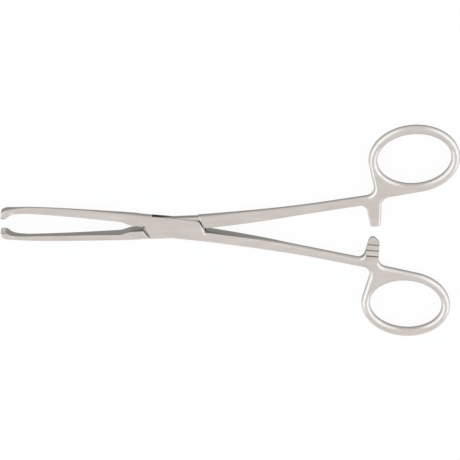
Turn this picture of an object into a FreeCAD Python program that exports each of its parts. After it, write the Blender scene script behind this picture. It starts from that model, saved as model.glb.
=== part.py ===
import FreeCAD, Part
import math
import os

# Tissue forceps with a box lock. Millimetres, +X towards the finger rings, +Y across, +Z up.
# The origin is on the pivot axis, in the plane of the box lock's underside.
# Both halves start as the same forging. It is drawn closed and square to X, with its mid-plane at z = 0,
# its shank on the +Y side and its jaw on the -Y side. The slotted half is the same forging turned over.

# Box lock
box_thickness = 5.6
box_width = 9.0
box_rounding = 1.75
root_spread = 0.6             # how much farther out the outer side is at the shank's root than at the jaw's
shoulder_reach = 12.95        # from the pivot to the shoulders' inner corner
shoulder_angle = 58.5         # of the shoulder faces to the length
slot_reach = 9.5              # from the pivot to the slot's end, along the box's edge
slot_height = 2.2
slot_clearance = 0.05         # on each flat face of the tongue
shoulder_clearance = 0.15     # at the shoulders and at the slot's ends
root_length = 0.25            # from the shoulders' inner corner to where the arms start
edge_break = 0.15             # rounding left on the ground inner edges

# Pivot rivet
rivet_radius = 1.25
rivet_head_radius = 1.7
rivet_head_depth = 0.6
pivot_clearance = 0.04        # radial, in the tongue

# Jaw: distances from the pivot, then inner edge and outer edge from the centre line, and thickness
root_gap = 0.1                # half the gap between the two jaws at the box
jaw_crotch_reach = 17.5
jaw_crotch_inner = 0.2
jaw_crotch_outer = 4.5
jaw_heel_reach = 23.0
jaw_heel_inner = 1.45
jaw_heel_outer = 4.5
jaw_heel_thickness = 5.2
jaw_middle_reach = 42.0
jaw_middle_inner = 1.4
jaw_middle_outer = 4.35
jaw_middle_thickness = 3.55
jaw_rounding = 1.6
jaw_neck_reach = 60.0
jaw_neck_inner = 1.15
jaw_neck_outer = 3.6
jaw_neck_thickness = 2.95
jaw_neck_rounding = 1.2

# Claw: the toothed end that turns in across the other jaw
tip_reach = 72.1
claw_heel_length = 6.0        # from the tip back to where the claw starts to bend
claw_heel_inner = 0.6
claw_heel_outer = 2.6
claw_heel_width = 3.9
claw_bend_length = 4.0        # from the tip back to the inside of the bend
claw_bend_width = 5.05
claw_corner_length = 2.5      # from the tip back to the bend's outer corner
claw_corner_outer = 1.55
claw_flat_start = 0.2         # where the end face starts, past the centre line
claw_reach = 1.9              # how far the tooth tips reach past the centre line
claw_edge_thickness = 1.6
claw_width = 5.5              # along Z, over all the teeth
claw_rounding = 0.6
tooth_depth = 0.7
tooth_pitch = 0.88
claw_teeth = 6                # on the slotted half; the other claw has one fewer

# Shank: distances from the pivot, then inner edge, width and thickness
shank_heel_reach = 20.0
shank_heel_inner = 0.6
shank_heel_width = 4.8
shank_heel_thickness = 5.2
shank_swell_reach = 36.0
shank_swell_inner = 1.75
shank_swell_width = 4.7
shank_swell_thickness = 4.3
shank_waist_reach = 56.0
shank_waist_inner = 4.05
shank_waist_width = 4.1
shank_end_inner = 5.85
shank_end_width = 3.9
shank_angle = 7.0             # of the shank to the length, where it meets the handle
handle_thickness = 4.0
rim_rounding = 1.5

# Finger ring
ring_x = 99.6
ring_y = 26.7
ring_tilt = 2.3
opening_length = 30.3
opening_width = 22.1
band_at_ends = 3.55
band_at_sides = 3.85
neck_tangent = 186.5          # place on the ring's outline where the neck runs into it, in degrees
web_tangent = -82.6           # the same for the web beside the ratchet bar
neck_corner = 3.5
web_corner = 3.8
crook_corner = 2.6

# Ratchet bar
bar_x = 83.2
handle_run = 13.2             # from the bar's middle back to the shank's end
bar_tip_width = 4.3
bar_outer_slant = 3.2
bar_inner_slant = 10.0
bar_overlap = 2.15            # how far the bar reaches past the centre line when fully closed
bar_pitch = 2.65
bar_teeth = 3
bar_tooth_depth = 0.5
bar_clearance = 0.05          # between the tooth crests and the mid-plane
bar_ramp = 2.5
bar_lead = 0.4                # plain bevelled length at the tip
bar_spare = 3.0               # length of bar made past its end, for the end to be cut square
ratchet_reach = 3.0           # from the bar's middle to the edge of the ratchet's cut, on the shank's side
bar_corner_width = 2.1        # the slotted half's bar end has a long slanted corner on the ring's side
bar_corner_length = 2.0
bar_nick_width = 0.7          # and a short one on the shank's side
bar_nick_length = 1.3

# Pose
rest_opening = 7.6            # between the halves, from fully closed, as the instrument lies

box_half_width = box_width / 2
box_half_thickness = box_thickness / 2
handle_half_thickness = handle_thickness / 2
root_reach = shoulder_reach + root_length
shank_root_outer = box_half_width + root_spread
shank_end_reach = bar_x - handle_run
shoulder_run = box_half_width / math.tan(math.radians(shoulder_angle))
cheek_corner = shoulder_reach - shoulder_run - shoulder_clearance / math.sin(math.radians(shoulder_angle))
through = 2 * box_thickness   # longer than any piece is thick
cut_margin = 2.0              # how far a cut runs past what it cuts


def vec(x, y, z=0.0):
    return FreeCAD.Vector(x, y, z)


def prism(points, bottom, top):
    """A flat-sided block over a plan outline."""
    corners = [vec(x, y, bottom) for x, y in points]
    face = Part.Face(Part.makePolygon(corners + corners[:1]))
    return face.extrude(vec(0, 0, top - bottom))


def half_turned(points):
    """The same plan points, turned by half a turn about the pivot."""
    return [(-x, -y) for x, y in points]


def section(inner, outer, height, outer_rounding, inner_rounding):
    """A rounded upright rectangle that stands on the plan line from inner to outer."""
    across = vec(*outer) - vec(*inner)
    width = across.Length
    across.normalize()
    corners = [
        (inner_rounding, -1, inner_rounding, 180),
        (width - outer_rounding, -1, outer_rounding, 270),
        (width - outer_rounding, 1, outer_rounding, 0),
        (inner_rounding, 1, inner_rounding, 90),
    ]
    arcs = []
    for u, side, radius, start in corners:
        centre = vec(*inner) + across * u + vec(0, 0, side * (height / 2 - radius))
        arc = []
        for turn in (0, 45, 90):
            angle = math.radians(start + turn)
            arc.append(centre + across * (radius * math.cos(angle)) + vec(0, 0, radius * math.sin(angle)))
        arcs.append(arc)
    edges = []
    for index, points in enumerate(arcs):
        following = arcs[(index + 1) % len(arcs)]
        edges.append(Part.Arc(*points).toShape())
        edges.append(Part.makeLine(points[2], following[0]))
    return Part.Wire(edges)


def upright(x, inner, outer, height, outer_rounding, inner_rounding):
    """What section needs for a place where the arm runs along the length."""
    return (x, inner), (x, outer), height, outer_rounding, inner_rounding


def loft(stations):
    return Part.makeLoft([section(*station) for station in stations], True)


def jaw():
    """The jaw in runs that share their end sections: heel, slender arm, flare and claw."""
    heel_x = claw_heel_length - tip_reach
    bend_x = claw_bend_length - tip_reach
    edge_x = claw_edge_thickness - tip_reach
    root = upright(-root_reach, -root_gap, -box_half_width, box_thickness, box_rounding, edge_break)
    crotch = upright(-jaw_crotch_reach, -jaw_crotch_inner, -jaw_crotch_outer,
                     box_thickness, box_rounding, edge_break)
    heel = upright(-jaw_heel_reach, -jaw_heel_inner, -jaw_heel_outer,
                   jaw_heel_thickness, jaw_rounding, edge_break)
    middle = upright(-jaw_middle_reach, -jaw_middle_inner, -jaw_middle_outer,
                     jaw_middle_thickness, jaw_rounding, edge_break)
    neck = upright(-jaw_neck_reach, -jaw_neck_inner, -jaw_neck_outer,
                   jaw_neck_thickness, jaw_neck_rounding, edge_break)
    claw_heel = upright(heel_x, -claw_heel_inner, -claw_heel_outer,
                        claw_heel_width, claw_rounding, edge_break)
    bend = ((bend_x, 0), (claw_corner_length - tip_reach, -claw_corner_outer),
            claw_bend_width, claw_rounding, edge_break)
    wrist = (((bend_x + edge_x) / 2, claw_reach / 2), (-tip_reach, claw_flat_start),
             claw_width, claw_rounding, edge_break)
    edge = ((edge_x, claw_reach), (-tip_reach, claw_reach), claw_width, claw_rounding, edge_break)
    runs = [[heel, middle, neck], [neck, claw_heel], [claw_heel, bend, wrist, edge]]
    return loft([root, crotch, heel]).multiFuse([loft(run) for run in runs])


def claw_space(teeth):
    """What is cut from the claw's edge to leave a row of pointed teeth."""
    root_y = claw_reach - tooth_depth
    side = claw_width / 2 + cut_margin
    place = -teeth * tooth_pitch / 2
    profile = [(root_y, -side), (root_y, place)]
    for _ in range(teeth):
        profile.append((claw_reach, place + tooth_pitch / 2))
        place += tooth_pitch
        profile.append((root_y, place))
    profile.append((root_y, side))
    profile.append((claw_reach + cut_margin, side))
    profile.append((claw_reach + cut_margin, -side))
    near = claw_edge_thickness + cut_margin - tip_reach
    far = -cut_margin - tip_reach
    corners = [vec(near, y, z) for y, z in profile]
    face = Part.Face(Part.makePolygon(corners + corners[:1]))
    return face.extrude(vec(far - near, 0, 0))


def shank():
    """The shank, lofted from the box, where it is flat inside, to the handle, where it is round."""
    angle = math.radians(shank_angle)
    end_outer = (shank_end_reach - shank_end_width * math.sin(angle),
                 shank_end_inner + shank_end_width * math.cos(angle))
    stations = [
        upright(root_reach, root_gap, shank_root_outer, box_thickness, box_rounding, edge_break),
        upright(shank_heel_reach, shank_heel_inner, shank_heel_inner + shank_heel_width,
                shank_heel_thickness, box_rounding, edge_break),
        upright(shank_swell_reach, shank_swell_inner, shank_swell_inner + shank_swell_width,
                shank_swell_thickness, rim_rounding, rim_rounding / 2),
        upright(shank_waist_reach, shank_waist_inner, shank_waist_inner + shank_waist_width,
                handle_thickness, rim_rounding, rim_rounding),
        ((shank_end_reach, shank_end_inner), end_outer, handle_thickness, rim_rounding, rim_rounding),
    ]
    return loft(stations), end_outer


def ring_half_sizes():
    return opening_length / 2 + band_at_ends, opening_width / 2 + band_at_sides


def on_ring(degrees):
    """A point of the ring's outline and the direction in which the outline runs there."""
    a, b = ring_half_sizes()
    t = math.radians(degrees)
    turn = FreeCAD.Rotation(vec(0, 0, 1), ring_tilt)
    point = vec(ring_x, ring_y) + turn.multVec(vec(a * math.cos(t), b * math.sin(t)))
    return point, turn.multVec(vec(-a * math.sin(t), b * math.cos(t)))


def meeting(point_a, direction_a, point_b, direction_b):
    """Where two plan lines cross."""
    gap = point_b - point_a
    cross = direction_a.x * direction_b.y - direction_a.y * direction_b.x
    along = (gap.x * direction_b.y - gap.y * direction_b.x) / cross
    return point_a + direction_a * along


def rounded_run(points, radii):
    """Edges of a run of straight lines whose inner corners are rounded."""
    edges = []
    last = points[0]
    for before, corner, after, radius in zip(points, points[1:], points[2:], radii):
        back = (before - corner).normalize()
        ahead = (after - corner).normalize()
        half = back.getAngle(ahead) / 2
        middle = (back + ahead).normalize()
        start = corner + back * (radius / math.tan(half))
        end = corner + ahead * (radius / math.tan(half))
        crown = corner + middle * (radius / math.sin(half) - radius)
        edges.append(Part.makeLine(last, start))
        edges.append(Part.Arc(start, crown, end).toShape())
        last = end
    edges.append(Part.makeLine(last, points[-1]))
    return edges


def ring_oval(a, b, first=None, last=None):
    """An oval about the ring's centre, whole or from one place on it to another."""
    oval = Part.Ellipse(vec(0, 0), a, b)
    if first is not None:
        oval = Part.ArcOfEllipse(oval, math.radians(first), math.radians(last))
    edge = oval.toShape()
    edge.rotate(vec(0, 0), vec(0, 0, 1), ring_tilt)
    edge.translate(vec(ring_x, ring_y))
    return edge


def handle(shank_outer):
    """The end of the shank, the web, the ratchet bar and the finger ring, with every rim rounded."""
    angle = math.radians(shank_angle)
    along = vec(math.cos(angle), math.sin(angle))
    inner_end = vec(shank_end_reach, shank_end_inner)
    outer_end = vec(*shank_outer)
    bar_end = -bar_overlap - bar_spare
    outer_lean = math.tan(math.radians(bar_outer_slant))
    inner_lean = math.tan(math.radians(bar_inner_slant))
    outer_tip = vec(bar_x + bar_tip_width / 2, -bar_overlap)
    inner_tip = vec(bar_x - bar_tip_width / 2, -bar_overlap)
    bar_outer = outer_tip + vec(outer_lean, 1) * (bar_end + bar_overlap)
    bar_inner = inner_tip + vec(-inner_lean, 1) * (bar_end + bar_overlap)
    neck_point, neck_direction = on_ring(neck_tangent)
    web_point, web_direction = on_ring(web_tangent)
    web = meeting(outer_tip, vec(outer_lean, 1), web_point, web_direction)
    crook = meeting(inner_tip, vec(-inner_lean, 1), inner_end, along)
    neck = meeting(outer_end, along, neck_point, neck_direction)

    edges = rounded_run([web_point, web, bar_outer], [web_corner])
    edges.append(Part.makeLine(bar_outer, bar_inner))
    edges += rounded_run([bar_inner, crook, inner_end], [crook_corner])
    edges.append(Part.makeLine(inner_end, outer_end))
    edges += rounded_run([outer_end, neck, neck_point], [neck_corner])
    a, b = ring_half_sizes()
    edges.append(ring_oval(a, b, web_tangent, neck_tangent))
    outline = Part.Wire(Part.__sortEdges__(edges))
    opening = Part.Wire([ring_oval(opening_length / 2, opening_width / 2)])
    plan = Part.Face([outline, opening])
    plan.validate()
    plan.translate(vec(0, 0, -handle_half_thickness))
    blank = plan.extrude(vec(0, 0, handle_thickness))

    ends = [(inner_end + outer_end) / 2, (bar_outer + bar_inner) / 2]
    rims = []
    for edge in blank.Edges:
        middle = edge.valueAt((edge.FirstParameter + edge.LastParameter) / 2)
        level = abs(abs(middle.z) - handle_half_thickness) < 1e-6
        flat = vec(middle.x, middle.y)
        if level and all((flat - end).Length > 1e-3 for end in ends):
            rims.append(edge)
    rounded = blank.makeFillet(rim_rounding, rims)
    return rounded.cut(ratchet_space())


def ratchet_space():
    """What is cut from under the bar: its end, its saw teeth and the ramp up to them."""
    crest = bar_clearance
    root = bar_clearance + bar_tooth_depth
    tip = -bar_overlap
    low = -box_thickness
    profile = [(tip, root + bar_tooth_depth)]
    place = tip + bar_lead
    profile.append((place, root))
    for _ in range(bar_teeth):
        place += bar_pitch
        profile.append((place, crest))
        profile.append((place, root))
    profile.append((place + bar_ramp, -handle_half_thickness))
    profile.append((place + bar_ramp, low))
    beyond = tip - bar_spare - cut_margin
    profile.append((beyond, low))
    profile.append((beyond, -low))
    profile.append((tip, -low))
    near = bar_x - ratchet_reach
    far = bar_x + bar_tip_width
    corners = [vec(near, y, z) for y, z in profile]
    face = Part.Face(Part.makePolygon(corners + corners[:1]))
    return face.extrude(vec(far - near, 0, 0))


def bar_corner(side, width, length):
    """What is cut from a corner of the bar's end, beyond a slanted line across it."""
    start = vec(bar_x + side * (bar_tip_width / 2 - width), -bar_overlap)
    slant = vec(side * width, length)
    low = start - slant
    high = start + slant * 2
    return prism([(low.x, low.y), (high.x, high.y), (high.x, low.y)], -through, through)


def rounded_block(points):
    """A full-thickness block of the box whose edges along its outer sides are rounded."""
    blank = prism(points, -box_half_thickness, box_half_thickness)
    rims = []
    for edge in blank.Edges:
        first, last = [vertex.Point for vertex in edge.Vertexes]
        outer = min(abs(first.y), abs(last.y)) > box_half_width - 1e-6
        if outer and abs(first.z - last.z) < 1e-6:
            rims.append(edge)
    return blank.makeFillet(box_rounding, rims)


def box_block():
    """The slotted half's box: full width between its slanted ends, and the roots of its jaw and shank."""
    jaw_root = [(-root_reach, -root_gap), (-root_reach, -box_half_width)]
    shank_root = [
        (root_reach, root_gap),
        (root_reach, shank_root_outer),
        (shoulder_reach, shank_root_outer),
    ]
    slanted_end = [(cheek_corner, -box_half_width), (cheek_corner + shoulder_run, 0)]
    return rounded_block(jaw_root + slanted_end + shank_root + half_turned(slanted_end))


def slot():
    """The mortise for the tongue, open at both long sides and through both slanted ends."""
    wall_run = (shoulder_reach - slot_reach) / box_half_width
    edge = box_half_width + cut_margin
    reach = shoulder_reach + shoulder_clearance
    lower = [
        (-reach + wall_run * edge, -edge),
        (-reach, 0),
        (-reach - cut_margin, 0),
        (-reach - cut_margin, edge),
    ]
    return prism(lower + half_turned(lower), -slot_height / 2, slot_height / 2)


def roots():
    """The plain half's full-thickness roots, outside the shoulder faces."""
    shoulder = [(shoulder_reach - shoulder_run, box_half_width), (shoulder_reach, root_gap)]
    jaw_root = [(root_reach, root_gap), (root_reach, box_half_width)] + shoulder
    low, high = vec(*shoulder[1]), vec(*shoulder[0])
    side = vec(shoulder_reach + cheek_corner, root_spread)
    corner = meeting(low, high - low, vec(-cheek_corner, box_half_width), side)
    shank_root = [
        (root_reach, root_gap),
        (root_reach, shank_root_outer),
        (shoulder_reach, shank_root_outer),
        (corner.x, corner.y),
        shoulder[1],
    ]
    return [rounded_block(half_turned(jaw_root)), rounded_block(shank_root)]


def tongue():
    """The flat tenon that turns in the slot."""
    side = [
        (-slot_reach + shoulder_clearance, box_half_width),
        (-shoulder_reach, 0),
        (-root_reach, -root_gap),
        (-root_reach, -box_half_width),
    ]
    half_height = slot_height / 2 - slot_clearance
    return prism(side + half_turned(side), -half_height, half_height)


def rivet():
    """The pivot rivet, with its two heads filled into the countersinks and ground flush."""
    side = [
        (0, -box_half_thickness),
        (rivet_head_radius, -box_half_thickness),
        (rivet_radius, rivet_head_depth - box_half_thickness),
        (rivet_radius, box_half_thickness - rivet_head_depth),
        (rivet_head_radius, box_half_thickness),
        (0, box_half_thickness),
    ]
    corners = [vec(r, 0, z) for r, z in side]
    face = Part.Face(Part.makePolygon(corners + corners[:1]))
    return face.revolve(vec(0, 0), vec(0, 0, 1), 360)


def forging():
    """What both halves share: jaw, shank and handle."""
    shank_solid, shank_outer = shank()
    return jaw(), [shank_solid, handle(shank_outer)]


def slotted_half():
    arm, handle_side = forging()
    arm = arm.cut(claw_space(claw_teeth))
    body = box_block().multiFuse([arm] + handle_side)
    body = body.cut(slot()).cut(rivet())
    body = body.cut(bar_corner(1, bar_corner_width, bar_corner_length))
    body = body.cut(bar_corner(-1, bar_nick_width, bar_nick_length))
    body.rotate(vec(0, 0), vec(1, 0, 0), 180)
    return body


def plain_half():
    arm, handle_side = forging()
    arm = arm.cut(claw_space(claw_teeth - 1))
    body = tongue().multiFuse(roots() + [arm] + handle_side)
    bore = Part.makeCylinder(rivet_radius + pivot_clearance, through, vec(0, 0, -through / 2))
    return body.cut(bore)


def placed(shape, turn):
    """Turns a half about the pivot to the way it lies, and lifts it onto its underside."""
    shape.rotate(vec(0, 0), vec(0, 0, 1), turn)
    shape.translate(vec(0, 0, box_half_thickness))
    return shape


os.makedirs("parts", exist_ok=True)
nodes = {
    "box_half": placed(slotted_half(), -rest_opening / 2),
    "male_half": placed(plain_half(), rest_opening / 2),
    "pivot_pin": placed(rivet(), 0),
}
for name, shape in nodes.items():
    shape = shape.removeSplitter()
    box = shape.BoundBox
    print(name, "solids", len(shape.Solids), "valid", shape.isValid(), "volume", round(shape.Volume, 2),
          "box", [round(v, 2) for v in (box.XMin, box.YMin, box.ZMin, box.XMax, box.YMax, box.ZMax)])
    shape.exportStep("parts/" + name + ".step")
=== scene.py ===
# %% [markdown]
# # Straight tissue forceps with a box lock
# The real instrument is three pieces of stainless steel. Two forgings cross in the box lock: one is slotted,
# the other passes through the slot as a thin tongue, and a small rivet, ground flush, holds them together.
# Here each piece is one closed surface worked out with numpy, in millimetres, and turned into metres at the
# end. The two halves are the same forging, so every outline is written once, in the place where the
# instrument is closed and lies square to X. Then each half is turned to the place where it lies.

# %% Load the frame
import bpy
import bmesh
import numpy as np
from mathutils import Matrix, Vector
from mathutils.geometry import delaunay_2d_cdt


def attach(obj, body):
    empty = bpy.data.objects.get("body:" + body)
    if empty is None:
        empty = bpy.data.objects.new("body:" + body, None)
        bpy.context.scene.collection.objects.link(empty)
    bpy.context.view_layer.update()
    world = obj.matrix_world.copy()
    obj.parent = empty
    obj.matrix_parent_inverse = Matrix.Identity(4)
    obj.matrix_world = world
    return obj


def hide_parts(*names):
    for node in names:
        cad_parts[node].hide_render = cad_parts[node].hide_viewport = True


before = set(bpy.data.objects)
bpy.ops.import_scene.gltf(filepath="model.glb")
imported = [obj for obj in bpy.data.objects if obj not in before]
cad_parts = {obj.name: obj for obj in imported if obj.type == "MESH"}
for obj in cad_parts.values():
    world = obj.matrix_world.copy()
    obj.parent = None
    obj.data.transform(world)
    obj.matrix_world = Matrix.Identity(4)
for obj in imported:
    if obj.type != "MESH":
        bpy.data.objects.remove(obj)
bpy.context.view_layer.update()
MM = 0.001

# %% [markdown]
# ## The sizes that the pieces share
# A maker would work from a drawing of the closed instrument. These are its main sizes in millimetres: the
# box lock, its slot and tongue, the handle's thickness, and the angle at which the halves lie open.

# %% Sizes of the box lock and the handle
box_half_width, box_half_height, box_rounding = 4.5, 2.8, 1.75
root_spread, shoulder_play = 0.6, 0.15
shoulder_reach, shoulder_slope, root_reach, root_gap = 12.95, np.radians(58.5), 13.2, 0.1
slot_reach, slot_half_height, tongue_half_height = 9.5, 1.2, 1.15
rivet_radius, rivet_head_radius, rivet_head_depth = 1.25, 1.7, 0.6
rivet_play, bore_play = 0.012, 0.04
handle_half_height = 2.0
half_opening = np.radians(3.8)
shoulder_run = box_half_width / np.tan(shoulder_slope)
cheek_reach = shoulder_reach - shoulder_play / np.sin(shoulder_slope)
cheek_corner = cheek_reach - shoulder_run
print("box lock", 2 * box_half_width, "x", 2 * box_half_height, "mm")
print("cheeks reach", round(cheek_reach, 2), "mm")

# %% [markdown]
# ## A curve through measured places
# The jaws and shanks swell and thin along their length. A few measured sections say how, and a smooth curve
# runs through them. A plain spline would overshoot where a section changes quickly, as at the claw, so the
# slope at each section is held back and the curve never leaves the range of its neighbours.

# %% Smooth curve through sections
def through_sections(sections, steps):
    """Rows of section values, and how many steps to take between each pair.

    Distance runs between the sections' middles. On each stretch the value is the cubic that starts and
    ends with the given values, and whose slope at a section is the harmonic mean of the straight slopes on
    both sides of it, or zero where these have opposite signs."""
    sections = np.asarray(sections, float)
    middle = (sections[:, 0:2] + sections[:, 2:4]) / 2
    length = np.linalg.norm(np.diff(middle, axis=0), axis=1)[:, None]
    slope = np.diff(sections, axis=0) / length
    before, after = slope[:-1], slope[1:]
    same = before * after > 0
    mean = np.where(same, 2 * before * after / np.where(same, before + after, 1.0), 0.0)
    slopes = np.concatenate([slope[:1], mean, slope[-1:]])
    stretch = np.repeat(np.arange(len(steps)), steps)
    t = np.concatenate([np.arange(n) / n for n in steps])
    stretch, t = np.append(stretch, len(steps) - 1), np.append(t, 1.0)[:, None]
    start, end, run = sections[stretch], sections[stretch + 1], length[stretch]
    return ((2 * t**3 - 3 * t**2 + 1) * start + (t**3 - 2 * t**2 + t) * run * slopes[stretch]
            + (3 * t**2 - 2 * t**3) * end + (t**3 - t**2) * run * slopes[stretch + 1])


# %% [markdown]
# ## The jaw and the shank
# Each arm is forged to a bar whose outer edges are well rounded, and whose inner edges are only just broken.
# A section stands on a plan line from its low side to its high side. It has a large rounding on the outer
# side, and a small one on the inner edge that grows to the handle's rounding along the shank. The claw is
# the jaw's own end, where the section lines swing round until they lie along the length.

# %% Sections of the jaw and the shank
# low x, low y, high x, high y, thickness, low rounding, high rounding, low edge, high edge
jaw_sections = [
    [-72.10, 1.90, -70.50, 1.90, 5.50, 0.40, 0, 0, 0.15],
    [-72.10, -0.20, -69.30, 0.95, 5.50, 0.60, 0, 0, 0.15],
    [-70.10, -1.95, -68.10, 0.00, 5.05, 0.90, 0, 0, 0.15],
    [-66.10, -2.80, -66.10, -0.60, 3.90, 1.10, 0, 0, 0.15],
    [-60.00, -3.65, -60.00, -1.15, 2.95, 1.20, 0, 0, 0.15],
    [-42.00, -4.40, -42.00, -1.40, 3.55, 1.60, 0, 0, 0.15],
    [-23.00, -4.65, -23.00, -1.45, 5.20, 1.60, 0, 0, 0.15],
    [-17.50, -4.68, -17.50, -0.20, 5.60, 1.75, 0, 0, 0.15],
    [-root_reach, -4.50, -root_reach, -root_gap, 5.60, 1.75, 0, 0, 0.15],
]
jaw_steps = [8, 10, 10, 8, 24, 24, 14, 8]
shank_angle = np.radians(7.0)
shank_end = np.array([70.0, 5.85])
shank_end_outer = shank_end + 3.9 * np.array([-np.sin(shank_angle), np.cos(shank_angle)])
shank_sections = [
    [root_reach, root_gap, root_reach, box_half_width + root_spread, 5.60, 0, 1.75, 0.15, 0],
    [20.0, 0.60, 20.0, 5.50, 5.20, 0, 1.75, 0.15, 0],
    [36.0, 1.75, 36.0, 6.45, 4.30, 0, 1.50, 0.75, 0],
    [56.0, 4.05, 56.0, 8.15, 4.00, 0, 1.50, 1.50, 0],
    [*shank_end, *shank_end_outer, 4.00, 0, 1.50, 1.50, 0],
]
shank_steps = [12, 22, 26, 20]


def stations(sections, steps):
    """The arm's stations: base point, unit direction, low and high side, the virtual sides that the
    roundings start from, roundings, edges, slant factors and half thickness, one row for each station."""
    row = through_sections(sections, steps)
    low, high = row[:, 0:2], row[:, 2:4]
    width = np.linalg.norm(high - low, axis=1, keepdims=True)
    zero, one = np.zeros_like(width), np.ones_like(width)
    roundings_and_edges, half_thickness = row[:, 5:9], row[:, 4:5] / 2
    return np.hstack([low, (high - low) / width, zero, width, zero, width, roundings_and_edges, one, one,
                      half_thickness])


jaw_stations, shank_stations = stations(jaw_sections, jaw_steps), stations(shank_sections, shank_steps)
print("jaw stations", len(jaw_stations), "shank stations", len(shank_stations))

# %% [markdown]
# ## Where the halves meet in the box lock
# The slotted half keeps its full width between two slanted ends, and the plain half has matching shoulders.
# A slanted end cuts across the rounded side of the bar, so its stations keep the side's rounding as it would
# run on, and only the side itself is moved in to the slanted line. The cut edge gets a small bevel, which
# catches the light on the real piece. Towards the shank the outer side spreads a little, up to the root.

# %% Stations of the box and of the shoulders
bevel, edge_break = 0.4, 0.15
slant = 1 / np.cos(shoulder_slope)


def shank_side(x):
    """The outer side on the shank's side: it spreads evenly from the cheek's corner to the shank's root."""
    return box_half_width + root_spread * np.clip((x + cheek_corner) / (root_reach + cheek_corner), 0, 1)


def square_stations(x, low, high, edge_low, edge_high, slant_low, slant_high):
    """Stations square to the length, in a bar as wide as the box, whose high side spreads to the shank."""
    n = len(x)
    fill = lambda value: np.broadcast_to(value, n)
    columns = [x, 0, 0, 1, low, high, -box_half_width, shank_side(x), box_rounding, box_rounding,
               edge_low, edge_high, slant_low, slant_high, box_half_height]
    return np.stack([fill(column) for column in columns], axis=1)


def box_stations():
    """The slotted half's box. Its high side is the slanted line at the jaw's end, and its low side is that
    line turned half way round at the shank's end."""
    runs = [(-root_reach, -cheek_reach, 3), (-cheek_reach, -cheek_corner, 18),
            (-cheek_corner, cheek_corner, 11), (cheek_corner, cheek_reach, 18), (cheek_reach, root_reach, 3)]
    x = np.concatenate([np.linspace(a, b, n) for a, b, n in runs])
    knots = [-root_reach, -cheek_reach, -cheek_corner]
    high = np.where(x > -cheek_corner, shank_side(x), np.interp(x, knots, [-root_gap, 0, box_half_width]))
    low = -np.interp(-x, knots, [-root_gap, 0, box_half_width])
    edge_knots = [-root_reach, -cheek_reach, -cheek_corner - bevel, -cheek_corner]
    edge_high = np.interp(x, edge_knots, [edge_break, 0.9, 0.5, 0])
    edge_low = np.interp(-x, edge_knots, [edge_break, 1.2, 0.7, 0])
    slant_high = np.where(x < -cheek_reach + 1e-6, 1, slant)
    slant_low = np.where(x > cheek_reach - 1e-6, 1, slant)
    return square_stations(x, low, high, edge_low, edge_high, slant_low, slant_high)


def shoulder_side(distance, tip):
    """At that distance from the pivot, the shoulder's line as a distance from the centre line, the width of
    its bevel and its slant. The line starts at the shoulder's inner corner and ends at the tip's distance."""
    across = root_gap + (shoulder_reach - distance) * (box_half_width - root_gap) / shoulder_run
    edge = np.interp(distance, [tip, tip + 0.5, shoulder_reach, root_reach], [0, bevel, bevel, edge_break])
    return np.maximum(across, root_gap), edge, np.where(distance > shoulder_reach - 1e-6, 1, slant)


def shoulder_places(tip):
    """Distances from the tip of a shoulder to its root."""
    return np.concatenate([np.linspace(tip, shoulder_reach, 20), np.linspace(shoulder_reach, root_reach, 3)])


def jaw_root_stations():
    """The plain half's jaw root, down to the line where its shoulder meets the outer side."""
    tip = shoulder_reach - shoulder_run
    distance = shoulder_places(tip)[::-1]
    across, edge, slants = shoulder_side(distance, tip)
    return square_stations(-distance, -box_half_width, -across, 0, edge, 1, slants)


def shank_root_stations():
    """The plain half's shank root, from the line where its shoulder meets the spreading outer side."""
    steepness = (box_half_width - root_gap) / shoulder_run
    spreading = root_spread / (root_reach + cheek_corner)
    tip = (root_gap + shoulder_reach * steepness - shank_side(0.0)) / (steepness + spreading)
    distance = shoulder_places(tip)
    across, edge, slants = shoulder_side(distance, tip)
    return square_stations(distance, across, shank_side(distance), edge, 0, slants, 1)


print("box stations", len(box_stations()), "jaw root stations", len(jaw_root_stations()),
      "shank root stations", len(shank_root_stations()))

# %% [markdown]
# ## The arm as a grid
# One grid covers the upper side of an arm: stations along it, columns across it. The columns bunch up on the
# roundings, where the surface turns. The lower side is its mirror image, and upright walls join the two.

# %% Grid over an arm
turns = np.radians(np.linspace(0, 90, 10))
inset, dip = 1 - np.cos(turns), 1 - np.sin(turns)
hold = 0.1  # a narrow flat strip next to each rounding, so that its shading doesn't run into the flat


def rounding_height(radius, half_height):
    """How far down a rounding of that plan radius reaches: a half more, but never quite to mid-height."""
    return np.minimum(1.5 * radius, 0.95 * half_height)


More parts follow.
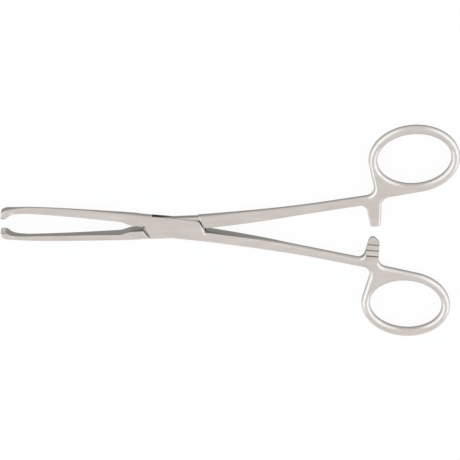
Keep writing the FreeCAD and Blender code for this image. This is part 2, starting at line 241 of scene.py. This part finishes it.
def arm_surface(rows):
    """Height over a station, at distance s along its line: half thickness, less the dip of the low and the
    high rounding. A rounding is a quarter of an oval of plan radius r and height h, so at distance d from
    where it ends it dips h - h sqrt(1 - d^2 / r^2). The last columns on each side turn down a smaller quarter
    oval, the edge."""
    base, along = rows[:, None, 0:2], rows[:, None, 2:4]
    low, high, virtual_low, virtual_high, round_low, round_high = (rows[:, i, None] for i in range(4, 10))
    edge_low, edge_high, slant_low, slant_high, height = (rows[:, i, None] for i in range(10, 15))
    first = low + slant_low * edge_low
    last = np.maximum(high - slant_high * edge_high, first)
    inner_low = np.maximum(virtual_low + round_low, first) + hold
    inner_high = np.minimum(virtual_high - round_high, last) - hold
    middle = np.hstack([virtual_low + round_low * inset, inner_low, inner_high,
                        (virtual_high - round_high * inset)[:, ::-1]])
    s = np.hstack([low + slant_low * edge_low * inset, np.clip(middle, first, last),
                   (high - slant_high * edge_high * inset)[:, ::-1]])
    s = np.maximum.accumulate(np.clip(s, low, np.maximum(high, low)), axis=1)
    down = np.hstack([rounding_height(edge_low, height) * dip, np.zeros_like(middle),
                      (rounding_height(edge_high, height) * dip)[:, ::-1]])
    z = height - down
    for beyond, radius in ((virtual_low + round_low - s, round_low),
                           (s - virtual_high + round_high, round_high)):
        share = np.clip(beyond, 0, radius) / np.maximum(radius, 1e-9)
        z = z - rounding_height(radius, height) * (1 - np.sqrt(1 - share**2))
    plan = base + along * s[:, :, None]
    return np.concatenate([plan, z[:, :, None]], axis=2)


def grid_faces(index, turn=False):
    """Four-sided faces between the rows and columns of an array of vertex numbers."""
    corners = [index[:-1, :-1], index[1:, :-1], index[1:, 1:], index[:-1, 1:]]
    faces = np.stack(corners, axis=-1).reshape(-1, 4)
    return (faces[:, ::-1] if turn else faces).tolist()


def arm_shell(rows, cap_start, cap_end):
    """Points and faces of both sides of an arm, its two walls, and the faces that close its ends."""
    top = arm_surface(rows)
    count = top.shape[0] * top.shape[1]
    upper = np.arange(count).reshape(top.shape[:2])
    lower = upper + count
    points = np.concatenate([top.reshape(-1, 3), (top * [1, 1, -1]).reshape(-1, 3)])
    faces = grid_faces(upper) + grid_faces(lower, True)
    faces += grid_faces(np.stack([lower[:, 0], upper[:, 0]], axis=1))
    faces += grid_faces(np.stack([upper[:, -1], lower[:, -1]], axis=1))
    if cap_start:
        faces.append(np.concatenate([upper[0], lower[0, ::-1]]).tolist())
    if cap_end:
        faces.append(np.concatenate([upper[-1], lower[-1, ::-1]])[::-1].tolist())
    return points, faces


# %% [markdown]
# ## The handle's outline
# The shank runs into a ring, and between them a web carries the ratchet bar towards the other half. All of
# it is one flat shape, so its outline is drawn once in plan: straight runs with rounded inner corners, and
# most of an oval. The bar is drawn longer than it is, and is cut to length later.

# %% Outline of the handle in plan
ring_centre, ring_tilt = np.array([99.6, 26.7]), np.radians(2.3)
opening_half, ring_half = np.array([15.15, 11.05]), np.array([18.7, 14.9])
bar_x, bar_tip_half, bar_overlap = 83.2, 2.15, 2.3
bar_outer_lean, bar_inner_lean = np.tan(np.radians(3.2)), np.tan(np.radians(10.0))
bar_spare, nose_radius = 2.0, 2.1
crook_radius, web_radius, neck_radius = 2.6, 3.8, 3.5
ring_rim, shank_rim, bar_inner_rim, bar_outer_rim = 1.65, 1.5, 0.5, 1.1


def oval(half, degrees):
    """Points of the tilted oval: centre + turn(half sizes times cosine and sine)."""
    t = np.radians(degrees)
    flat = np.stack([half[0] * np.cos(t), half[1] * np.sin(t)], axis=-1)
    c, s = np.cos(ring_tilt), np.sin(ring_tilt)
    return ring_centre + flat @ np.array([[c, s], [-s, c]])


def crossing(p, d, q, e):
    """Where the line from p along d crosses the line from q along e."""
    gap = q - p
    return p + d * (gap[0] * e[1] - gap[1] * e[0]) / (d[0] * e[1] - d[1] * e[0])


def rounded(before, corner, after, radius, steps=14):
    """Points on the arc of that radius that touches both lines of a corner."""
    back, ahead = before - corner, after - corner
    back, ahead = back / np.linalg.norm(back), ahead / np.linalg.norm(ahead)
    half = np.arccos(np.clip(back @ ahead, -1, 1)) / 2
    centre = corner + (back + ahead) / np.linalg.norm(back + ahead) * radius / np.sin(half)
    start, end = corner + back * radius / np.tan(half), corner + ahead * radius / np.tan(half)
    a = np.arctan2(*(start - centre)[::-1])
    b = np.arctan2(*(end - centre)[::-1])
    sweep = (b - a + np.pi) % (2 * np.pi) - np.pi
    t = a + sweep * np.linspace(0, 1, steps)
    return centre + radius * np.stack([np.cos(t), np.sin(t)], axis=-1)


def handle_outline():
    """Points from the shank's inner side round the crook, the bar, the web, the ring and the neck to its
    outer side, and the plan radius of the rim at each: broad on the ring, narrow on the ground bar."""
    along = np.array([np.cos(shank_angle), np.sin(shank_angle)])
    inner_tip = np.array([bar_x - bar_tip_half, -bar_overlap])
    outer_tip = np.array([bar_x + bar_tip_half, -bar_overlap])
    inner_way, outer_way = np.array([-bar_inner_lean, 1.0]), np.array([bar_outer_lean, 1.0])
    neck_at, web_at = 186.5, -82.6
    neck_point, neck_next = oval(ring_half, np.array([neck_at, neck_at + 0.01]))
    web_point, web_next = oval(ring_half, np.array([web_at, web_at + 0.01]))
    crook = crossing(inner_tip, inner_way, shank_end, along)
    web = crossing(outer_tip, outer_way, web_point, web_next - web_point)
    neck = crossing(shank_end_outer, along, neck_point, neck_next - neck_point)
    nose = np.radians(np.linspace(180, 360, 25))[:, None]
    spare = np.array([bar_x, -bar_overlap - bar_spare])
    nose_points = spare + nose_radius * np.hstack([np.cos(nose), np.sin(nose)])
    runs = [(shank_end[None], shank_rim, shank_rim),
            (rounded(shank_end, crook, inner_tip, crook_radius), shank_rim, bar_inner_rim),
            (inner_tip[None], bar_inner_rim, bar_inner_rim),
            (nose_points, bar_inner_rim, bar_outer_rim),
            (outer_tip[None], bar_outer_rim, bar_outer_rim),
            (rounded(outer_tip, web, web_point, web_radius), bar_outer_rim, ring_rim),
            (oval(ring_half, np.linspace(web_at, neck_at, 240)), ring_rim, ring_rim),
            (rounded(neck_point, neck, shank_end_outer, neck_radius), ring_rim, shank_rim),
            (shank_end_outer[None], shank_rim, shank_rim)]
    points = np.concatenate([run for run, start, end in runs])
    return points, np.concatenate([np.linspace(start, end, len(run)) for run, start, end in runs])


outline, outline_rims = handle_outline()
opening = oval(opening_half, np.linspace(360, 0, 221)[:-1])
print("outline points", len(outline), "opening points", len(opening))

# %% [markdown]
# ## The handle as a rounded rim round a flat
# The handle's edges are rounded for the fingers. The rim is a quarter of an oval carried along the outline,
# and the flat between the rims is filled with triangles.

# %% Handle shell
def left_of(points, closed):
    """Unit normals on the left of a run of points, half way between those of the lines before and after."""
    step = np.diff(points, axis=0, append=points[:1])
    step /= np.linalg.norm(step, axis=1, keepdims=True)
    if not closed:
        step[-1] = step[-2]
    before = np.roll(step, 1, axis=0)
    if not closed:
        before[0] = step[0]
    way = before + step
    way /= np.linalg.norm(way, axis=1, keepdims=True)
    return np.stack([-way[:, 1], way[:, 0]], axis=-1)


def rim_surface(points, rims, closed):
    """Rows from the wall up to the flat: outline + normal * r(1 - cos), half height - h(1 - sin)."""
    rims = rims[:, None]
    offsets = np.hstack([rims * inset, rims + hold])
    drop = np.hstack([rounding_height(rims, handle_half_height) * dip, 0 * rims])
    plan = points[:, None] + left_of(points, closed)[:, None] * offsets[:, :, None]
    return np.concatenate([plan, (handle_half_height - drop)[:, :, None]], axis=2)


def handle_shell():
    """Rims of the outline and of the opening, on both sides, with the flats between them. A triangle whose
    three corners are all on the opening's loop lies in the opening, and is left out."""
    outer = rim_surface(outline, outline_rims, False)
    inner = rim_surface(opening, np.full(len(opening), ring_rim), True)
    inner = np.concatenate([inner, inner[:1]])
    sheets, points, faces = [outer, inner], [], []
    flat_loops = []
    for sheet in sheets:
        start = sum(len(p) for p in points)
        count = sheet.shape[0] * sheet.shape[1]
        upper = start + np.arange(count).reshape(sheet.shape[:2])
        points += [sheet.reshape(-1, 3), (sheet * [1, 1, -1]).reshape(-1, 3)]
        faces += grid_faces(upper) + grid_faces(upper + count, True)
        faces += grid_faces(np.stack([upper[:, 0] + count, upper[:, 0]], axis=1))
        flat_loops.append(upper[:, -1])
    points = np.concatenate(points)
    edge, hole = flat_loops
    hole = hole[:-1]
    numbers = np.concatenate([edge, hole])
    n, m = len(edge), len(hole)
    limits = [(i, (i + 1) % n) for i in range(n)] + [(n + i, n + (i + 1) % m) for i in range(m)]
    found = delaunay_2d_cdt([Vector(p[:2]) for p in points[numbers]], limits, [], 1, 1e-6)
    triangles = np.array([face for face in found[2] if len(face) == 3])
    flat = np.array([tuple(v) for v in found[0]])
    triangles = triangles[triangles.min(axis=1) < n]
    start = len(points)
    top = np.column_stack([flat, np.full(len(flat), handle_half_height)])
    points = np.concatenate([points, top, top * [1, 1, -1]])
    faces += (triangles + start).tolist() + (triangles[:, ::-1] + start + len(flat)).tolist()
    return points, faces


handle_points, handle_faces = handle_shell()
print("handle points", len(handle_points), "faces", len(handle_faces))


# %% [markdown]
# ## From arrays to closed solids
# Neighbouring surfaces were made with the same points where they meet, so merging the doubles closes the
# seams. Teeth, slot and ratchet are ground into the real forging with a wheel, and they are cut here in the
# same way, with simple prisms.

# %% Make, join and cut
def count_open(shape):
    """How many edges don't lie between exactly two faces. A closed solid has none."""
    return sum(1 for edge in shape.edges if len(edge.link_faces) != 2)


def solid(name, parts):
    """One closed mesh from several sets of points and faces that share their seams."""
    points, faces, start = [], [], 0
    for part_points, part_faces in parts:
        points.append(part_points)
        faces += [[start + i for i in face] for face in part_faces]
        start += len(part_points)
    mesh = bpy.data.meshes.new(name)
    mesh.from_pydata(np.concatenate(points).tolist(), [], faces)
    shape = bmesh.new()
    shape.from_mesh(mesh)
    bmesh.ops.remove_doubles(shape, verts=shape.verts, dist=2e-4)
    bmesh.ops.dissolve_degenerate(shape, edges=shape.edges, dist=1e-5)
    bmesh.ops.recalc_face_normals(shape, faces=shape.faces)
    open_edges = count_open(shape)
    shape.to_mesh(mesh)
    shape.free()
    print(name, "faces", len(mesh.polygons), "open edges", open_edges)
    thing = bpy.data.objects.new(name, mesh)
    bpy.context.scene.collection.objects.link(thing)
    return thing


def prism(name, outline_points, axis, start, end):
    """The solid that an outline in the plane across the axis sweeps from start to end."""
    flat = np.asarray(outline_points, float)
    n = len(flat)
    points = np.concatenate([np.insert(flat, axis, start, axis=1), np.insert(flat, axis, end, axis=1)])
    ring = np.arange(n)
    sides = np.stack([ring, (ring + 1) % n, (ring + 1) % n + n, ring + n], axis=1).tolist()
    return solid(name, [(points, [ring[::-1].tolist(), (ring + n).tolist()] + sides)])


def lathe(name, profile, steps=96):
    """A profile of radius and height, turned about the pivot's axis. Its first and last radius are zero."""
    profile = np.asarray(profile, float)
    t = np.linspace(0, 2 * np.pi, steps + 1)[:, None]
    sheet = np.stack([profile[:, 0] * np.cos(t), profile[:, 0] * np.sin(t),
                      np.broadcast_to(profile[:, 1], (steps + 1, len(profile)))], axis=-1)
    index = np.arange(sheet.shape[0] * sheet.shape[1]).reshape(sheet.shape[:2])
    return solid(name, [(sheet.reshape(-1, 3), grid_faces(index))])


def combine(thing, other, operation):
    """Cuts the other solid away, or unites it, and removes it."""
    step = thing.modifiers.new("step", "BOOLEAN")
    step.operation, step.solver, step.object = operation, "EXACT", other
    bpy.context.view_layer.update()
    done = bpy.data.meshes.new_from_object(thing.evaluated_get(bpy.context.evaluated_depsgraph_get()))
    thing.modifiers.clear()
    thing.data = done
    bpy.data.objects.remove(other)
    shape = bmesh.new()
    shape.from_mesh(done)
    print(thing.name, operation.lower(), "faces", len(done.polygons), "open edges", count_open(shape),
          "volume", round(shape.calc_volume(), 2))
    shape.free()


# %% The two halves and the rivet
tooth_pitch, tooth_tip, tooth_root = 0.88, 1.9, 1.2
claw_cut_start, claw_cut_end = -74, -68.6
ratchet_pitch, ratchet_lead, ratchet_ramp, ratchet_crest, ratchet_foot = 2.65, 0.1, 2.5, 0.05, 0.55
ratchet_strips = (0.9, 0.9, 0.4)
ratchet_before, ratchet_after = 3.0, 4.3
tongue_inset = 0.5
clear = 5  # far enough for a cutter to leave the steel


def claw_cutter(teeth):
    """What is ground away from the claw's edge to leave a row of pointed teeth."""
    place = (np.arange(2 * teeth + 1) / 2 - teeth / 2) * tooth_pitch
    level = np.where(np.arange(2 * teeth + 1) % 2, tooth_tip, tooth_root)
    saw = np.column_stack([level, place])
    corners = [[tooth_root, -clear], *saw, [tooth_root, clear], [4, clear], [4, -clear]]
    return prism("claw_cutter", corners, 0, claw_cut_start, claw_cut_end)


def ratchet_cutter():
    """What is ground away under the bar: its end, three saw teeth and the ramp up to them. Each tooth has a
    narrow strip at its foot, where the wheel's edge ran."""
    tip = -bar_overlap
    teeth = [(tip + ratchet_lead, ratchet_foot)]
    for tooth, strip in enumerate(ratchet_strips, start=1):
        place = tip + ratchet_lead + tooth * ratchet_pitch
        teeth += [(place, ratchet_crest), (place, ratchet_foot), (place + strip, ratchet_foot)]
    foot = tip + ratchet_lead + len(ratchet_strips) * ratchet_pitch + ratchet_ramp
    corners = [(tip, ratchet_foot + 0.5), *teeth, (foot, -handle_half_height), (foot, -clear), (-9, -clear),
               (-9, clear), (tip, clear)]
    return prism("ratchet_cutter", corners, 0, bar_x - ratchet_before, bar_x + ratchet_after)


def corner_cutter(name, start, end):
    """The block on the right of the line from start to end."""
    start, end = np.array(start), np.array(end)
    along = (end - start) / np.linalg.norm(end - start)
    right = np.array([along[1], -along[0]])
    overrun, depth = 3, 4
    start, end = start - overrun * along, end + overrun * along
    return prism(name, [start, end, end + depth * right, start + depth * right], 2, -depth, depth)


def slot_cutter():
    """The slot for the tongue, open at both long sides and through both slanted ends."""
    run = (shoulder_reach - slot_reach) / box_half_width
    beyond = 2
    side, reach = box_half_width + beyond, shoulder_reach + shoulder_play
    lower = np.array([[-reach + run * side, -side], [-reach, 0], [-reach - beyond, 0],
                      [-reach - beyond, side]])
    return prism("slot_cutter", np.concatenate([lower, -lower]), 2, -slot_half_height, slot_half_height)


def rivet_profile(play):
    """The rivet's outline: a flush head, its cone, the shank, and the same at the other end."""
    r, head, top = rivet_radius - play, rivet_head_radius - play, box_half_height
    neck = top - rivet_head_depth
    return [(0, -top), (head, -top), (r, -neck), (r, neck), (head, top), (0, top)]


def tongue_slab():
    """The thin tongue that crosses the slot. Inside the roots it is inset, to stay under their roundings."""
    side = np.array([[shoulder_play - slot_reach, box_half_width], [-shoulder_reach, 0],
                     [-root_reach, -root_gap], [-root_reach, -box_half_width + tongue_inset],
                     [tongue_inset - slot_reach, -box_half_width]])
    return prism("tongue", np.concatenate([side, -side]), 2, -tongue_half_height, tongue_half_height)


print("tooth pitch", tooth_pitch, "mm, tooth depth", round(tooth_tip - tooth_root, 2), "mm")

# %% [markdown]
# ## Painted shade on the upright sides
# The upright sides are made rougher, and their colour is painted darker as painted shade. So are the slot's
# inside, the foot of each ratchet tooth and the flanks of the claw's teeth, as painted shadow. How upright a
# surface is gets worked out once and kept in the mesh as an attribute, so it turns with its piece.

# %% How upright each surface is
flank_start, flank_end = -72.0, -70.6
bar_zone, crease = 5, np.radians(28)


def paint_side_shade(piece):
    """Attribute side, the strength of the painted shade: 1 where the surface is upright, 0 where it faces up
    or down, from the corner normals' height n as ((0.6 - |n|) / 0.55) ^ 1.5, kept between 0 and 1. As painted
    shadow, the strip at the foot of each ratchet tooth counts as 0.9, the slot's inside as 1, and the flanks
    of the claw's teeth as 0.3."""
    mesh = piece.data
    count = len(mesh.polygons)
    mesh.polygons.foreach_set("use_smooth", np.ones(count, bool))
    mesh.set_sharp_from_angle(angle=crease)
    normals, centres, sizes = np.empty(len(mesh.loops) * 3), np.empty(count * 3), np.empty(count, int)
    mesh.corner_normals.foreach_get("vector", normals)
    mesh.polygons.foreach_get("center", centres)
    mesh.polygons.foreach_get("loop_total", sizes)
    upright = np.clip((0.6 - np.abs(normals[2::3])) / 0.55, 0, 1) ** 1.5
    x, y, z = centres.reshape(-1, 3).T
    foot = (np.abs(x - bar_x) < bar_zone) & (np.abs(z - ratchet_foot) < 0.01)
    flank = (x < flank_end) & (x > flank_start) & (y > tooth_root)
    inside = (np.abs(np.abs(z) - slot_half_height) < 0.01) & (np.abs(x) < root_reach)
    # painted shadow: the foot strips of the ratchet teeth and the slot's inside are darkened as if in shade
    upright = np.maximum(upright, np.repeat(0.9 * foot + 1.0 * inside, sizes))
    # painted shade: the flanks of the claw's teeth are darkened a little
    upright = np.where(np.repeat(flank, sizes), 0.3, upright)
    mesh.attributes.new("side", "FLOAT", "CORNER").data.foreach_set("value", upright)
    print(piece.name, "corners on upright sides", round(float(upright.mean()), 3))


# %% [markdown]
# ## The slotted half
# One run of stations goes from the claw's edge through the box to the end of the shank, and the handle closes
# it. Then the slot, the rivet's seat, the claw's teeth and the ratchet are ground in. This half is the same
# forging turned over, so at the end it is turned by half a turn about X, and then to where it lies.

# %% Slotted half
def lay(thing, turned_over, angle):
    """Turns a half to the place where it lies, lifts it onto its underside, and changes to metres."""
    move = Matrix.Translation((0, 0, box_half_height * MM)) @ Matrix.Rotation(angle, 4, "Z")
    if turned_over:
        move = move @ Matrix.Rotation(np.pi, 4, "X")
    thing.data.transform(move @ Matrix.Scale(MM, 4))


slotted_rows = np.concatenate([jaw_stations, box_stations(), shank_stations])
slotted_half = solid("slotted_forging", [arm_shell(slotted_rows, True, False), (handle_points, handle_faces)])
combine(slotted_half, slot_cutter(), "DIFFERENCE")
combine(slotted_half, lathe("seat", rivet_profile(0.0)), "DIFFERENCE")
combine(slotted_half, claw_cutter(6), "DIFFERENCE")
combine(slotted_half, ratchet_cutter(), "DIFFERENCE")
bar_left, bar_right = bar_x - bar_tip_half, bar_x + bar_tip_half
long_width, long_height, long_lean = 2.1, 2.0, 0.1
short_width, short_height, short_lean = 0.7, 1.3, 0.2
combine(slotted_half, corner_cutter("long_corner", (bar_right - long_width, -bar_overlap),
                                    (bar_right + long_lean, long_height - bar_overlap)), "DIFFERENCE")
combine(slotted_half, corner_cutter("short_corner", (bar_left - short_lean, short_height - bar_overlap),
                                    (bar_left + short_width, -bar_overlap)), "DIFFERENCE")
paint_side_shade(slotted_half)
lay(slotted_half, True, -half_opening)

# %% [markdown]
# ## The plain half
# Its jaw ends in a slanted shoulder, and its shank starts from the same shoulder turned round. Between them
# only the tongue is left. Its claw has one tooth fewer, so that the two rows mesh.

# %% Plain half
plain_jaw = np.concatenate([jaw_stations, jaw_root_stations()])
plain_shank = np.concatenate([shank_root_stations(), shank_stations])
plain_half = solid("plain_forging", [arm_shell(plain_shank, False, False), (handle_points, handle_faces)])
combine(plain_half, ratchet_cutter(), "DIFFERENCE")
jaw_end = solid("plain_jaw", [arm_shell(plain_jaw, True, False)])
combine(jaw_end, claw_cutter(5), "DIFFERENCE")
combine(plain_half, tongue_slab(), "UNION")
combine(plain_half, jaw_end, "UNION")
bore_radius, bore_half_height = rivet_radius + bore_play, 3
bore_profile = [(0, -bore_half_height), (bore_radius, -bore_half_height), (bore_radius, bore_half_height),
                (0, bore_half_height)]
combine(plain_half, lathe("bore", bore_profile), "DIFFERENCE")
paint_side_shade(plain_half)
lay(plain_half, False, half_opening)

# %% [markdown]
# ## The rivet
# It is turned in one piece, its heads fill the countersinks in the cheeks, and both ends are ground flush, so
# only a hairline shows where it sits.

# %% Rivet
rivet = lathe("box_lock_rivet", rivet_profile(rivet_play))
paint_side_shade(rivet)
lay(rivet, False, 0.0)

# %% [markdown]
# ## Satin steel
# The flats and rims are blasted with fine glass beads and lightly brushed along the length. The upright sides
# are rougher, and their colour is darkened with painted shade. It is a bare metal, so apart from that painted
# shade its colour comes from what it reflects. Noise stretched along the length gives the brushing, a fine
# even noise gives the blasting, and a slow noise keeps large flats from looking like a computer's.

# %% Material of the steel
def satin_steel(name, colour, shade_colour, roughness, brushing, grain):
    """Metal whose roughness and bump follow stretched and fine noise in the piece's own coordinates, and
    whose colour is darkened towards the shade colour by the painted shade kept in the attribute side."""
    material = bpy.data.materials.new(name)
    material.use_nodes = True
    nodes, links = material.node_tree.nodes, material.node_tree.links
    shader = nodes["Principled BSDF"]
    shader.inputs["Metallic"].default_value = 1.0
    place = nodes.new("ShaderNodeTexCoord")
    # the attribute side holds the painted shade
    side = nodes.new("ShaderNodeAttribute")
    side.attribute_name = "side"

    def noise(scale, detail, stretch):
        turn = nodes.new("ShaderNodeMapping")
        turn.inputs["Scale"].default_value = stretch
        links.new(place.outputs["Object"], turn.inputs["Vector"])
        pattern = nodes.new("ShaderNodeTexNoise")
        pattern.inputs["Scale"].default_value = scale
        pattern.inputs["Detail"].default_value = detail
        links.new(turn.outputs["Vector"], pattern.inputs["Vector"])
        return pattern.outputs["Fac"]

    def spread(value, low, high, start=0.3, end=0.7):
        ramp = nodes.new("ShaderNodeMapRange")
        ramp.inputs["From Min"].default_value, ramp.inputs["From Max"].default_value = start, end
        ramp.inputs["To Min"].default_value, ramp.inputs["To Max"].default_value = low, high
        links.new(value, ramp.inputs["Value"])
        return ramp.outputs["Result"]

    def blend(factor, first, second):
        mix = nodes.new("ShaderNodeMix")
        mix.data_type = "RGBA"
        links.new(factor, mix.inputs["Factor"])
        for socket, value in (("A", first), ("B", second)):
            if isinstance(value, tuple):
                mix.inputs[socket].default_value = (*value, 1.0)
            else:
                links.new(value, mix.inputs[socket])
        return mix.outputs["Result"]

    def total(first, second):
        add = nodes.new("ShaderNodeMath")
        links.new(first, add.inputs[0])
        links.new(second, add.inputs[1])
        return add.outputs["Value"]

    streaks = noise(2500.0, 3.0, (0.06, 1.0, 1.0))
    beads = noise(9000.0, 2.0, (1.0, 1.0, 1.0))
    clouds = noise(120.0, 3.0, (0.5, 1.0, 1.0))
    rough = total(spread(streaks, roughness - 0.04, roughness + 0.04), spread(clouds, -0.03, 0.03))
    links.new(total(rough, spread(side.outputs["Fac"], 0.0, 0.12, 0.0, 1.0)), shader.inputs["Roughness"])
    drawn = noise(420.0, 2.0, (0.14, 1.0, 1.0))
    tone = total(spread(drawn, 0.0, 0.6), spread(clouds, 0.0, 0.4))
    face = blend(tone, tuple(c * k for c, k in zip(colour, (0.90, 0.89, 0.88))),
                 tuple(c * k for c, k in zip(colour, (1.06, 1.055, 1.04))))
    # painted shade: the colour blends towards the shade colour where side is high
    links.new(blend(side.outputs["Fac"], face, shade_colour), shader.inputs["Base Color"])
    height = nodes.new("ShaderNodeMath")
    height.operation = "MULTIPLY_ADD"
    links.new(streaks, height.inputs[0])
    height.inputs[1].default_value = brushing
    links.new(beads, height.inputs[2])
    bump = nodes.new("ShaderNodeBump")
    bump.inputs["Strength"].default_value = grain
    bump.inputs["Distance"].default_value = 0.02 * MM
    links.new(height.outputs["Value"], bump.inputs["Height"])
    links.new(bump.outputs["Normal"], shader.inputs["Normal"])
    print("material", name, "colour", colour, "roughness", roughness)
    return material


# colour of the painted shade on the upright sides, in the slot and at the teeth
painted_side_shade = (0.235, 0.225, 0.210)
steel = satin_steel("satin_steel", (0.705, 0.645, 0.612), painted_side_shade, 0.27, 1.5, 0.12)
rivet_steel = satin_steel("ground_steel", (0.70, 0.64, 0.607), painted_side_shade, 0.27, 1.5, 0.12)

# %% Ride and replace
for piece, body, node, metal in ((slotted_half, "slotted_half", "box_half", steel),
                                 (plain_half, "plain_half", "male_half", steel),
                                 (rivet, "slotted_half", "pivot_pin", rivet_steel)):
    piece.data.materials.clear()
    piece.data.materials.append(metal)
    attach(piece, body)
    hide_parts(node)
    print(piece.name, "polygons", len(piece.data.polygons), "replaces", node)

# %% [markdown]
# ## A studio for bright metal
# Metal shows its surroundings, so the surroundings are the light. The room is a pale tent, even and quiet
# overhead, where the flats look, and bright at its two ends along the instrument. So a rim shines where it
# turns towards an end, and is quiet where it runs along. The floor is plain and pale. Camera and metal see it
# as a white backdrop, with a little of its own shading left so that it keeps the object's soft shadow.

# %% Floor
floor_size, floor_height, white_share = 4.0, -0.0001, 0.93


def plain_sheet(name, size, height):
    """A level square of that size in metres, round the origin."""
    mesh = bpy.data.meshes.new(name)
    half = size / 2
    plan = [(-half, -half), (half, -half), (half, half), (-half, half)]
    mesh.from_pydata([(x, y, height) for x, y in plan], [], [(0, 1, 2, 3)])
    sheet = bpy.data.objects.new(name, mesh)
    bpy.context.scene.collection.objects.link(sheet)
    return sheet


floor = plain_sheet("floor", floor_size, floor_height)
pale = bpy.data.materials.new("pale_floor")
pale.use_nodes = True
pale_nodes, pale_links = pale.node_tree.nodes, pale.node_tree.links
pale_nodes.clear()
path = pale_nodes.new("ShaderNodeLightPath")
seen = path.outputs["Is Camera Ray"]
for ray in ("Is Glossy Ray", "Is Transmission Ray"):
    either = pale_nodes.new("ShaderNodeMath")
    either.operation = "MAXIMUM"
    pale_links.new(seen, either.inputs[0])
    pale_links.new(path.outputs[ray], either.inputs[1])
    seen = either.outputs["Value"]
share = pale_nodes.new("ShaderNodeMath")
share.operation = "MULTIPLY"
pale_links.new(seen, share.inputs[0])
share.inputs[1].default_value = white_share
matt, white = pale_nodes.new("ShaderNodeBsdfDiffuse"), pale_nodes.new("ShaderNodeEmission")
matt.inputs["Color"].default_value = (0.85, 0.85, 0.85, 1)
white.inputs["Strength"].default_value = 1.0
floor_mix, floor_out = pale_nodes.new("ShaderNodeMixShader"), pale_nodes.new("ShaderNodeOutputMaterial")
pale_links.new(share.outputs["Value"], floor_mix.inputs[0])
pale_links.new(matt.outputs[0], floor_mix.inputs[1])
pale_links.new(white.outputs[0], floor_mix.inputs[2])
pale_links.new(floor_mix.outputs[0], floor_out.inputs["Surface"])
floor.data.materials.append(pale)
print("floor", floor_size, "m")

# %% Tent
tent_light, window_light = (0.87, 0.87, 0.87), (1.38, 1.53, 1.60)
world = bpy.data.worlds.new("pale_tent")
world.use_nodes = True
tent_nodes, tent_links = world.node_tree.nodes, world.node_tree.links
way = tent_nodes.new("ShaderNodeTexCoord")
split = tent_nodes.new("ShaderNodeSeparateXYZ")
tent_links.new(way.outputs["Generated"], split.inputs[0])
sideways = tent_nodes.new("ShaderNodeMath")
sideways.operation = "ABSOLUTE"
tent_links.new(split.outputs["X"], sideways.inputs[0])
strength = None
for value, low, high in ((sideways.outputs["Value"], 0.24, 0.50), (split.outputs["Y"], -0.80, -0.55)):
    edge = tent_nodes.new("ShaderNodeMapRange")
    edge.interpolation_type = "SMOOTHSTEP"
    edge.inputs["From Min"].default_value, edge.inputs["From Max"].default_value = low, high
    tent_links.new(value, edge.inputs["Value"])
    if strength is None:
        strength = edge.outputs["Result"]
    else:
        both = tent_nodes.new("ShaderNodeMath")
        both.operation = "MULTIPLY"
        tent_links.new(strength, both.inputs[0])
        tent_links.new(edge.outputs["Result"], both.inputs[1])
        strength = both.outputs["Value"]
level = tent_nodes.new("ShaderNodeMix")
level.data_type = "RGBA"
tent_links.new(strength, level.inputs["Factor"])
level.inputs["A"].default_value, level.inputs["B"].default_value = (*tent_light, 1), (*window_light, 1)
tent_links.new(level.outputs["Result"], tent_nodes["Background"].inputs["Color"])
bpy.context.scene.world = world
print("tent", tent_light, "bright sides", window_light)

# %% [markdown]
# ## The camera
# The photograph was taken from above with a long lens, leaning a little towards the side of the slotted
# half's jaw, so that the instrument's height foreshortens. The camera's axes are written as a matrix: right
# along X, and up leaning back by the tilt.

# %% Camera
swing, tilt, roll, distance = np.radians(0.538), np.radians(25.19), np.radians(0.782), 1.0045
pixels_per_metre, frame_pixels, sensor = 2411.0, 460, 36.0
lens = sensor * pixels_per_metre * distance / frame_pixels
c, s = np.cos(swing), np.sin(swing)
swing_turn = np.array([[c, -s, 0], [s, c, 0], [0, 0, 1]])
right = swing_turn @ [1, 0, 0]
up = swing_turn @ [0, np.cos(tilt), -np.sin(tilt)]
back = swing_turn @ [0, np.sin(tilt), np.cos(tilt)]
right, up = right * np.cos(roll) + up * np.sin(roll), up * np.cos(roll) - right * np.sin(roll)
aim = np.array([0.022966, -0.000802, box_half_height * MM])
axes = np.eye(4)
axes[:3, 0], axes[:3, 1], axes[:3, 2], axes[:3, 3] = right, up, back, aim + back * distance
camera_data = bpy.data.cameras.new("camera")
camera_data.lens, camera_data.sensor_width, camera_data.sensor_fit = lens, sensor, "HORIZONTAL"
camera = bpy.data.objects.new("camera", camera_data)
camera.matrix_world = Matrix(axes.tolist())
bpy.context.scene.collection.objects.link(camera)
bpy.context.scene.camera = camera
bpy.context.scene.view_settings.view_transform = "Standard"
print("camera at", np.round(axes[:3, 3], 3), "lens", lens)
